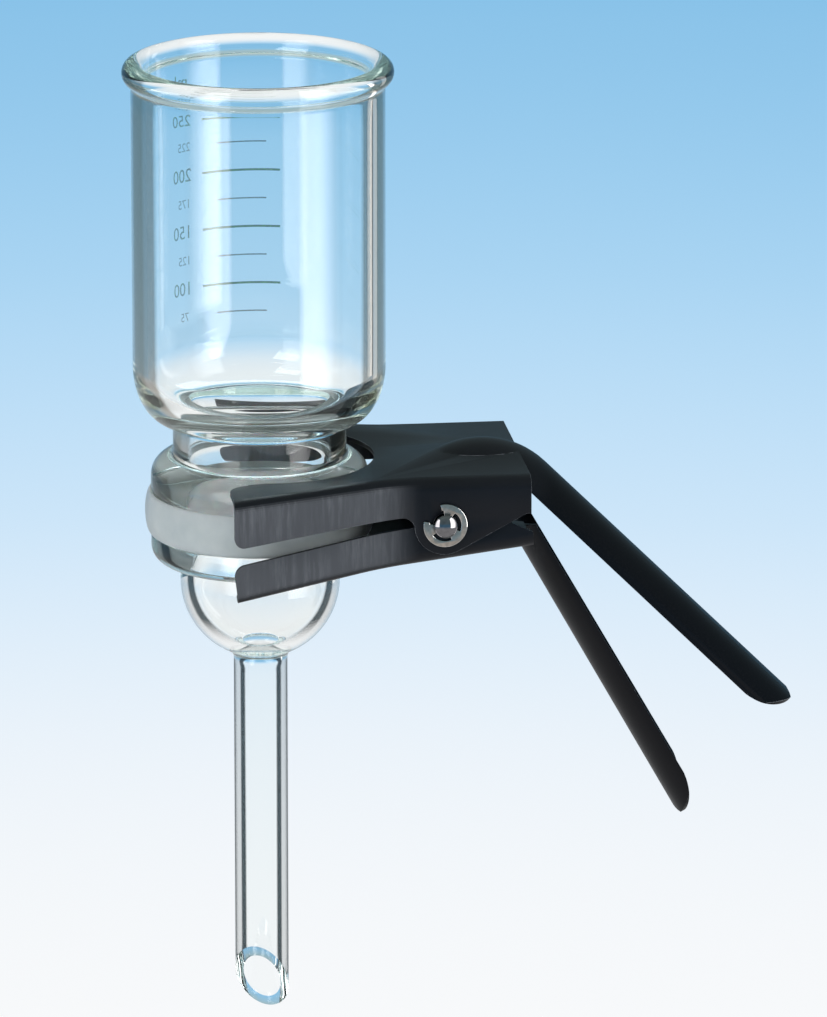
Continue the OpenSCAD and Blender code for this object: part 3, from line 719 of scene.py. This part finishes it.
class FILTRATION_OT_funnel(bpy.types.Operator):
    """Blown glass funnel, from its ground flange to its rim bead"""

    bl_idname = "filtration.funnel"
    bl_label = "Funnel"

    def execute(self, context):
        glass = context.scene.filtration_glass
        finish = glass_finish("funnel_glass", glass, glass.tube_edge, shade_near=0.9,
                              shade_far=1.0)
        obj = turned("glass_funnel", funnel_profile(glass), finish, glass.steps_round)
        mark_outside(obj)
        grind(obj, FUNNEL_LOW.z, ground_finish())
        stands_for(obj, "glassware", "funnel")
        return {"FINISHED"}


class FILTRATION_OT_base(bpy.types.Operator):
    """Blown glass base: ground flange, bowl and slant-cut stem"""

    bl_idname = "filtration.base"
    bl_label = "Base"

    def execute(self, context):
        glass = context.scene.filtration_glass
        finish = glass_finish("base_glass", glass, glass.base_edge, shade_near=1.0,
                              shade_far=0.45)
        obj = turned("glass_base", base_profile(glass), finish, glass.steps_round)
        slant_stem(obj, glass)
        shade(obj.data)
        mark_outside(obj)
        grind(obj, BASE_HIGH.z, ground_finish())
        stands_for(obj, "glassware", "base")
        return {"FINISHED"}


class FILTRATION_OT_seal(bpy.types.Operator):
    """White seal ring between the flanges, and the sintered disc inside it"""

    bl_idname = "filtration.seal"
    bl_label = "Seal ring and disc"

    def execute(self, context):
        glass = context.scene.filtration_glass
        gap, ring_round, edge = 0.15 * MM, 0.35 * MM, 0.4 * MM
        lip_bore, bore = glass.flange_r + gap, DISC_HIGH.x + gap
        middle = (lip_bore, (RING_LOW.z + RING_HIGH.z) / 2)
        half_h = (RING_HIGH.z - RING_LOW.z) / 2
        points = [(bore, RING_LOW.z)]
        points += arc(middle, RING_HIGH.x - lip_bore, half_h, -90, 90, 30)
        points += [(lip_bore, FUNNEL_LOW.z), (bore, FUNNEL_LOW.z)]
        ring = turned("white_seal_ring", soften(points, ring_round), seal_finish(),
                      glass.steps_round)
        stands_for(ring, "glassware", "seal_ring")
        top, low, r = DISC_HIGH.z, DISC_LOW.z, DISC_HIGH.x
        points = [(0.0, low)] + arc((r - edge, low + edge), edge, edge, -90, 0, 4)
        points += arc((r - edge, top - edge), edge, edge, 0, 90, 4) + [(0.0, top)]
        disc = turned("frit_disc", points, frit_finish(), glass.steps_round, closed=False)
        stands_for(disc, "glassware", "sintered_disc")
        return {"FINISHED"}


# ---- Volume marks ----

LOWEST_MARK, MARK_VOLUME = 75, 25  # millilitres
LOWEST_MARK_Z = 91.5 * MM
MARK_STEP = 8.115 * MM
PRINT_LIFT = 0.05 * MM
PRINT_T = 0.03 * MM


def mark_z(volume):
    """Height of the mark for a volume in millilitres."""
    return LOWEST_MARK_Z + (volume - LOWEST_MARK) / MARK_VOLUME * MARK_STEP


def camera_ways(azimuth):
    """The level ways to the camera's right and ahead of it."""
    return (Vector((math.cos(azimuth), math.sin(azimuth), 0)),
            Vector((-math.sin(azimuth), math.cos(azimuth), 0)))


def rear_point(across, up, lift, tube_r, azimuth):
    """A point on the tube's rear wall: across is measured round it, to the camera's right."""
    angle = across / tube_r
    right, ahead = camera_ways(azimuth)
    flat = math.sin(angle) * right + math.cos(angle) * ahead
    return flat * (tube_r + lift) + up * UP


def mark_bar(name, up, tube_r, azimuth, start, end, thick):
    """One printed line, a thin bar bent round the wall."""
    steps = 24
    verts, faces = [], []
    for i in range(steps + 1):
        across = start + (end - start) * i / steps
        for lift, z in ((0, 0), (0, 1), (1, 1), (1, 0)):
            verts.append(rear_point(across, up + (z - 0.5) * thick, PRINT_LIFT + lift * PRINT_T,
                                    tube_r, azimuth))
    for i in range(steps):
        for k in range(4):
            a, b = 4 * i + k, 4 * i + (k + 1) % 4
            faces.append((a, b, b + 4, a + 4))
    faces += [(3, 2, 1, 0), tuple(4 * steps + k for k in range(4))]
    mesh = bpy.data.meshes.new(name)
    mesh.from_pydata(verts, [], faces)
    outward(mesh)
    return link(name, mesh)


def numerals(name, entries, finish, tube_r, azimuth, size):
    """Printed numbers, each centred at its place on the rear wall."""
    joined = bmesh.new()
    middle = PRINT_LIFT + PRINT_T / 2
    for text, across, up in entries:
        curve = bpy.data.curves.new(name, "FONT")
        curve.body, curve.size, curve.extrude = text, size, PRINT_T / 2
        curve.align_x = curve.align_y = "CENTER"
        curve.resolution_u = 4
        letter = link(name, curve)
        bpy.context.view_layer.update()
        mesh = evaluated_mesh(letter)
        bpy.data.objects.remove(letter)
        bpy.data.curves.remove(curve)
        for vert in mesh.vertices:
            vert.co = rear_point(across - vert.co.x, up + vert.co.y, middle + vert.co.z,
                                 tube_r, azimuth)
        joined.from_mesh(mesh)
        bpy.data.meshes.remove(mesh)
    bmesh.ops.remove_doubles(joined, verts=joined.verts, dist=MERGE)
    mesh = bpy.data.meshes.new(name)
    joined.to_mesh(mesh)
    joined.free()
    mesh.materials.append(finish)
    outward(mesh)
    return link(name, mesh)


class FILTRATION_OT_marks(bpy.types.Operator):
    """Volume marks and their numbers, fired on the tube's rear wall"""

    bl_idname = "filtration.marks"
    bl_label = "Volume marks"

    def execute(self, context):
        glass = context.scene.filtration_glass
        azimuth = context.scene.filtration_stage.azimuth
        green = print_finish("main_print", glass.print_green, cover=0.62)
        grey = print_finish("fine_print", glass.print_grey, cover=0.5)
        pale_green = print_finish("number_print", glass.print_green, cover=0.42)
        pale_grey = print_finish("fine_number_print", glass.print_grey, cover=0.35)
        wall = (glass.tube_r, azimuth)
        main = mark_bar("main_marks", mark_z(100), *wall, start=-18.4 * MM, end=6.0 * MM,
                        thick=0.62 * MM)
        fine = mark_bar("fine_marks", mark_z(75), *wall, start=-13.6 * MM, end=1.8 * MM,
                        thick=0.4 * MM)
        for bars, finish in ((main, green), (fine, grey)):
            ladder_tree().run(bars, Count=4, Step=(0.0, 0.0, 2 * MARK_STEP), Finish=finish)
        column, fine_column, unit_column = -26.5 * MM, -25.6 * MM, -25.2 * MM
        unit_z = mark_z(250) + 1.25 * MARK_STEP
        big = [(str(v), column, mark_z(v)) for v in (100, 150, 200, 250)]
        big.append(("ml", unit_column, unit_z))
        small = [(str(v), fine_column, mark_z(v)) for v in (75, 125, 175, 225)]
        made = [main, fine,
                numerals("main_numbers", big, pale_green, *wall, size=5.4 * MM),
                numerals("fine_numbers", small, pale_grey, *wall, size=3.6 * MM)]
        for obj in made:
            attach(obj, "glassware")
        return {"FINISHED"}


# ---- Clamp ----


def dressed(node, name, finish, edge_finish, edge_round):
    """A copy of a CAD node with its seams merged and its edges rounded and given the edge
    finish: wear with a painted highlight.
    """
    flat, corner = math.radians(0.6), math.radians(38)
    mesh = frame["nodes"][node].data.copy()
    mesh.name = name
    mesh.materials.clear()
    mesh.materials.append(finish)
    mesh.materials.append(edge_finish)
    bm = bmesh.new()
    bm.from_mesh(mesh)
    bmesh.ops.remove_doubles(bm, verts=bm.verts, dist=MERGE)
    bmesh.ops.dissolve_limit(bm, angle_limit=flat, verts=bm.verts, edges=bm.edges)
    bm.to_mesh(mesh)
    bm.free()
    if "custom_normal" in mesh.attributes:
        mesh.attributes.remove(mesh.attributes["custom_normal"])
    obj = link(name, mesh)
    bevel = obj.modifiers.new("edge_round", "BEVEL")
    bevel.width, bevel.segments, bevel.limit_method = edge_round, 2, "ANGLE"
    bevel.angle_limit = corner
    bevel.use_clamp_overlap = True
    bevel.miter_outer = "MITER_ARC"
    # The rounded edges take the edge finish, partly wear and partly painted highlight.
    bevel.material = 1
    rounded = evaluated_mesh(obj)
    obj.modifiers.clear()
    obj.data = rounded
    bpy.data.meshes.remove(mesh)
    shade(rounded, angle=40.0)
    return obj


class FILTRATION_OT_clamp(bpy.types.Operator):
    """The two blackened sheet halves of the clamp"""

    bl_idname = "filtration.clamp"
    bl_label = "Clamp halves"

    def execute(self, context):
        clamp = context.scene.filtration_clamp
        finish, edge_finish = black_finish(clamp), rubbed_edge_finish(clamp)
        for node, name, body in (("upper_jaw", "upper_clamp_half", "clamp_upper"),
                                 ("lower_jaw", "lower_clamp_half", "clamp_lower")):
            obj = dressed(node, name, finish, edge_finish, clamp.edge_round)
            stands_for(obj, body, node)
        return {"FINISHED"}


class FILTRATION_OT_pin(bpy.types.Operator):
    """Bright pivot pin and the clip at each of its ends"""

    bl_idname = "filtration.pin"
    bl_label = "Pin and clips"

    def execute(self, context):
        clamp = context.scene.filtration_clamp
        turning, stamping = (900.0, 4000.0, 900.0), (900.0, 900.0, 900.0)
        # Painted shade: the pin takes the darkened steel colour.
        steel = steel_finish("bright_steel", clamp.steel, turning)
        plain_steel = steel_finish("plain_steel", clamp.clip_steel, stamping, 0.3, 0.5)
        # Partly wear and partly painted highlight: the clips' rims get the brighter steel.
        rim_steel = steel_finish("rim_steel", clamp.rim_steel, stamping)
        groove_r, groove_w, dome, edge = 2.45 * MM, 0.8 * MM, 1.1 * MM, 0.3 * MM
        groove_near = 31.10 * MM
        groove_far = groove_near + groove_w
        r = (PIN_HIGH.z - PIN_LOW.z) / 2
        half_l = PIN_HIGH.y
        dome_r = (r ** 2 + dome ** 2) / (2 * dome)
        dome_angle = math.degrees(math.asin(r / dome_r))
        half = [(r, 0.0), (r, groove_near), (groove_r, groove_near), (groove_r, groove_far),
                (r, groove_far)]
        half += arc((r - edge, half_l - dome), edge, edge, 0, 70, 3)
        half += arc((0, half_l - dome_r), dome_r, dome_r, 90 - 0.9 * dome_angle, 90, 10)[:-1]
        half.append((0.0, half_l))
        profile = [(x, -z) for x, z in reversed(half)] + half[1:]
        turn = Matrix.Translation(PIN) @ Matrix.Rotation(math.radians(90), 4, "X")
        pin = turned("bright_pin", profile, steel, steps=72, closed=False, axis_turn=turn)
        stands_for(pin, "clamp_lower", "pivot_pin")
        for node in ("front_clip", "rear_clip"):
            clip = dressed(node, "bright_" + node, plain_steel, rim_steel, clamp.clip_round)
            stands_for(clip, "clamp_lower", node)
        return {"FINISHED"}


class FILTRATION_OT_spring(bpy.types.Operator):
    """Torsion spring: a coil round the pin with a leg to each plate"""

    bl_idname = "filtration.spring"
    bl_label = "Torsion spring"

    def execute(self, context):
        clamp = context.scene.filtration_clamp
        coil_r, legs = 4.95 * MM, 8
        upper, lower = math.radians(16.984), math.radians(3.037)  # the legs' slants
        start = math.pi / 2 + upper
        sweep = TAU * clamp.coil_turns + upper + lower + math.pi
        last = start + sweep
        steps = 28 * clamp.coil_turns
        middle = clamp.coil_pitch * (start + sweep / 2) / TAU

        def on_coil(a):
            return Vector((coil_r * math.cos(a), clamp.coil_pitch * a / TAU - middle,
                           coil_r * math.sin(a)))

        coil = [on_coil(start + sweep * i / steps) for i in range(steps + 1)]
        first_leg = Vector((math.cos(upper), 0, math.sin(upper))) * clamp.leg_l
        last_leg = Vector((-math.sin(last), 0, math.cos(last))) * clamp.leg_l
        path = [coil[0] + first_leg * (1 - i / legs) for i in range(legs)] + coil
        path += [coil[-1] + last_leg * (i + 1) / legs for i in range(legs)]
        obj = wire_object("coil_spring", [tuple(PIN + p) for p in path], closed=False)
        finish = steel_finish("drawn_steel", clamp.spring_steel, (700.0, 700.0, 700.0),
                              0.22, 0.4)
        wire_tree().run(obj, Radius=clamp.wire_r, Sides=16, Finish=finish)
        outward(obj.data)
        shade(obj.data)
        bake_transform(obj)
        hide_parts("torsion_spring")
        return {"FINISHED"}


# ---- Stage ----


def shown_tone(work, glow, plain, keep, mirrored):
    """Mixes the tone that eyes and mirrors see with a plain surface that takes shadow."""
    path = work.add("LightPath").outputs
    reflected = work.math("SUBTRACT", path["Is Glossy Ray"], path["Is Transmission Ray"],
                          clamp=True)
    work.join(work.math("MULTIPLY_ADD", reflected, mirrored - 1, 1.0),
              glow.inputs["Strength"])
    seen = path["Is Camera Ray"]
    for operation, other in (("ADD", "Is Glossy Ray"), ("ADD", "Is Transmission Ray"),
                             ("SUBTRACT", "Diffuse Depth")):
        seen = work.math(operation, seen, path[other], clamp=True)
    share = work.math("MULTIPLY", seen, keep)
    return work.add("MixShader", share, plain.outputs[0], glow.outputs[0]).outputs[0]


def stage_material(name):
    """A material with an empty surface, and its nodes to fill it."""
    material = bpy.data.materials.new(name)
    material.use_nodes = True
    work = Nodes(material.node_tree)
    work.nodes.remove(work.nodes["Principled BSDF"])
    return material, work


def floor_material(stage, reach):
    """A pale floor, white close by and sky blue far off, the same all round."""
    material, work = stage_material("pale_floor")
    far = work.add("VectorMath", work.add("TexCoord").outputs["Object"])
    far.operation = "LENGTH"
    share = work.add("MapRange", far.outputs["Value"], 0.0, reach).outputs[0]
    tone = work.ramp(share, [(0.29, stage.near_tone), (0.42, stage.low_tone),
                             (0.54, stage.mid_tone), (0.70, stage.high_tone),
                             (0.90, stage.far_tone)], "B_SPLINE")
    shader = shown_tone(work, work.add("Emission", tone),
                        work.add("BsdfDiffuse", (0.82, 0.84, 0.86)), keep=0.9,
                        mirrored=stage.mirrored)
    work.join(shader, work.nodes["Material Output"].inputs["Surface"])
    return material


def lay_floor(stage):
    """A round floor below the stem's tip."""
    bm = bmesh.new()
    bmesh.ops.create_circle(bm, cap_ends=True, radius=14.0, segments=96)
    mesh = bpy.data.meshes.new("floor")
    bm.to_mesh(mesh)
    bm.free()
    mesh.materials.append(floor_material(stage, reach=2.9))
    floor = link("floor", mesh)
    floor.location.z = CAD_BOX[0].z - stage.drop


def light_room(scene, stage):
    """Dim even light from all round, and the tones of the room that mirrors see."""
    world = scene.world = bpy.data.worlds.new("studio")
    world.use_nodes = True
    work = Nodes(world.node_tree)
    soft = work.nodes["Background"]
    work.join((0.80, 0.86, 0.92), soft.inputs["Color"])
    work.join(0.35, soft.inputs["Strength"])
    way = work.add("SeparateXYZ", work.add("TexCoord").outputs["Generated"])
    tone = work.ramp(way.outputs["Z"], [(0.0, stage.far_tone), (0.12, stage.sky_tone),
                                        (0.45, stage.sky_tone), (0.75, stage.roof_tone)],
                     "B_SPLINE")
    shader = shown_tone(work, work.add("Background", tone), soft, keep=1.0,
                        mirrored=stage.mirrored)
    work.join(shader, work.nodes["World Output"].inputs["Surface"])


def aimed(obj, place, aim):
    """Puts a lamp or a card at a place, turned to its aim and out of the camera's sight."""
    obj.location = place
    obj.rotation_euler = (Vector(aim) - Vector(place)).to_track_quat("-Z", "Y").to_euler()
    obj.visible_camera = False
    return obj


def soft_lamp(name, place, aim, size, power, tone=(1, 1, 1)):
    """A wide soft lamp that doesn't show as a reflection."""
    lamp = bpy.data.lights.new(name, "AREA")
    lamp.shape = "RECTANGLE"
    lamp.size, lamp.size_y = size
    lamp.energy, lamp.color = power, tone
    aimed(link(name, lamp), place, aim).visible_glossy = False


def shine_card(name, place, aim, size, strength, fade):
    """A glowing card that only shows as a reflection. It fades at its upright edges."""
    x, y = size[0] / 2, size[1] / 2
    material, work = stage_material(name)
    split = work.add("SeparateXYZ", work.add("TexCoord").outputs["Object"])
    span = work.add("MapRange", split.outputs["X"], -x, x).outputs[0]
    tone = work.ramp(span, [(0.0, 0.0), (fade[0], 1.0), (1 - fade[1], 1.0), (1.0, 0.0)],
                     "EASE")
    path = work.add("LightPath").outputs
    mirrored = work.math("MULTIPLY", path["Glossy Depth"], path["Is Singular Ray"],
                         clamp=True)
    glow = work.add("Emission", tone, work.math("MULTIPLY", mirrored, strength))
    unseen = work.add("BsdfTransparent")
    mix = work.add("MixShader", mirrored, unseen.outputs[0], glow.outputs[0])
    work.join(mix.outputs[0], work.nodes["Material Output"].inputs["Surface"])
    mesh = bpy.data.meshes.new(name)
    mesh.from_pydata([(-x, -y, 0), (x, -y, 0), (x, y, 0), (-x, y, 0)], [], [(3, 2, 1, 0)])
    mesh.materials.append(material)
    card = aimed(link(name, mesh), place, aim)
    card.visible_diffuse = card.visible_shadow = False


def place_lights(right, ahead):
    """Three cards for the shine in the glass, and three soft lamps."""
    centre = Vector((0.03, 0, 0.06))

    def place(degrees, far, height):
        """A place at an angle from the camera's side, positive to its right."""
        a = math.radians(degrees)
        return centre + far * (math.sin(a) * right - math.cos(a) * ahead) + height * UP

    shine_card("left_card", place(-41, 1.6, 0.25), centre + 0.25 * UP, (0.95, 1.25),
               strength=3.6, fade=(0.5, 0.1))
    shine_card("right_card", place(60, 1.25, 0.2), centre + 0.2 * UP, (1.0, 1.28),
               strength=4.8, fade=(0.1, 0.6))
    shine_card("edge_card", place(133, 1.6, 0.2), centre + 0.2 * UP, (0.36, 1.28),
               strength=2.2, fade=(0.3, 0.3))
    soft_lamp("key", place(-35, 2.1, 1.5), centre, (1.1, 1.1), power=26.0)
    soft_lamp("fill", place(60, 2.1, 0.9), centre, (1.1, 1.1), power=14.0)
    soft_lamp("backlight", place(170, 1.7, 1.6), centre, (1.4, 0.8), power=14.0,
              tone=(0.80, 0.90, 1.0))


def place_camera(scene, stage, right, ahead):
    """The camera faces the clamp's side from a little above."""
    aim = stage.aim_right * right + stage.aim_up * UP
    back = -math.cos(stage.elevation) * ahead + math.sin(stage.elevation) * UP
    lens = bpy.data.cameras.new("camera")
    lens.lens, lens.clip_start, lens.clip_end = stage.lens, 0.1, 60.0
    scene.camera = link("camera", lens)
    scene.camera.location = aim + back * stage.distance
    scene.camera.rotation_mode = "QUATERNION"
    scene.camera.rotation_quaternion = (-back).to_track_quat("-Z", "Y")


class FILTRATION_OT_stage(bpy.types.Operator):
    """Pale floor, soft studio lamps and the camera"""

    bl_idname = "filtration.stage"
    bl_label = "Floor, lamps and camera"

    def execute(self, context):
        scene = context.scene
        stage = scene.filtration_stage
        ways = camera_ways(stage.azimuth)
        scene.view_settings.view_transform = "Standard"
        # Light runs round inside thick glass many times before it finds a way out.
        cycles = scene.cycles
        cycles.max_bounces = cycles.transmission_bounces = cycles.glossy_bounces = 40
        lay_floor(stage)
        light_room(scene, stage)
        place_lights(*ways)
        place_camera(scene, stage, *ways)
        return {"FINISHED"}


# ---- Panel and start ----

OPERATORS = (FILTRATION_OT_funnel, FILTRATION_OT_base, FILTRATION_OT_seal, FILTRATION_OT_marks,
             FILTRATION_OT_clamp, FILTRATION_OT_pin, FILTRATION_OT_spring, FILTRATION_OT_stage)


class FILTRATION_PT_panel(bpy.types.Panel):
    """Lists the pieces of the filtration unit and their settings"""

    bl_label = "Vacuum filtration unit"
    bl_idname = "FILTRATION_PT_panel"
    bl_space_type = "VIEW_3D"
    bl_region_type = "UI"
    bl_category = "Filtration"

    def draw(self, context):
        for operator in OPERATORS:
            self.layout.operator(operator.bl_idname)
        for name in SETTINGS:
            group = getattr(context.scene, name)
            box = self.layout.box()
            for prop in group.bl_rna.properties:
                if not prop.is_readonly and prop.identifier != "name":
                    box.prop(group, prop.identifier)


SETTINGS = {"filtration_glass": GlassSettings, "filtration_clamp": ClampSettings,
            "filtration_stage": StageSettings}
CLASSES = (*SETTINGS.values(), *OPERATORS, FILTRATION_PT_panel)


def register():
    for cls in CLASSES:
        bpy.utils.register_class(cls)
    for name, cls in SETTINGS.items():
        setattr(bpy.types.Scene, name, bpy.props.PointerProperty(type=cls))


def unregister():
    for name in SETTINGS:
        delattr(bpy.types.Scene, name)
    for cls in reversed(CLASSES):
        bpy.utils.unregister_class(cls)


def main():
    """Makes every piece and the stage."""
    register()
    for operator in OPERATORS:
        group, call = operator.bl_idname.split(".")
        getattr(getattr(bpy.ops, group), call)()
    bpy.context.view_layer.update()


if __name__ == "__main__":
    main()
